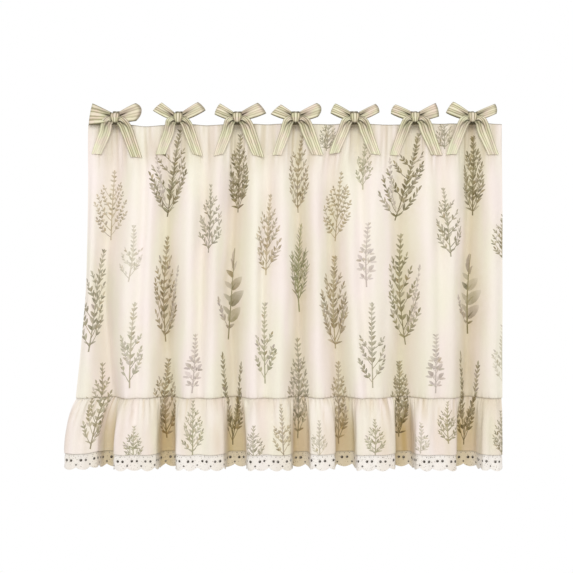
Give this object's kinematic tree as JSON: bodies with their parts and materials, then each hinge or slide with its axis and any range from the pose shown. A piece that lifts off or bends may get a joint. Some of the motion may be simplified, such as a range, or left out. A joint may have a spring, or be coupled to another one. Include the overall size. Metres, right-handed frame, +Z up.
{
  "type": "oven curtain",
  "caption": "Short tie-top curtain of printed cotton in soft folds, with a gathered ruffle, a scalloped eyelet trim and striped ribbon bows that tie round a rail.",
  "frame": {"origin": "middle of the panel's top edge, where the curtain hangs", "axes": "+X along the width, to the right seen from the front; +Y to the back, so the front faces -Y; +Z up"},
  "size_m": [0.7657, 0.0541, 0.645],
  "materials": {
    "printed_cotton": "cream plain-weave cotton with a small herb-sprig print in sage, olive and lilac-grey",
    "eyelet_cotton": "off-white cotton eyelet trim with raised white embroidery round pairs of holes",
    "striped_ribbon": "woven cotton ribbon with narrow lengthwise stripes in cream and sage"
  },
  "bodies": {
    "root": {"panel": "printed_cotton", "ruffle": "printed_cotton", "lace_trim": "eyelet_cotton", "tie_1": "striped_ribbon", "tie_2": "striped_ribbon", "tie_3": "striped_ribbon", "tie_4": "striped_ribbon", "tie_5": "striped_ribbon", "tie_6": "striped_ribbon", "tie_7": "striped_ribbon"}
  },
  "joints": []
}
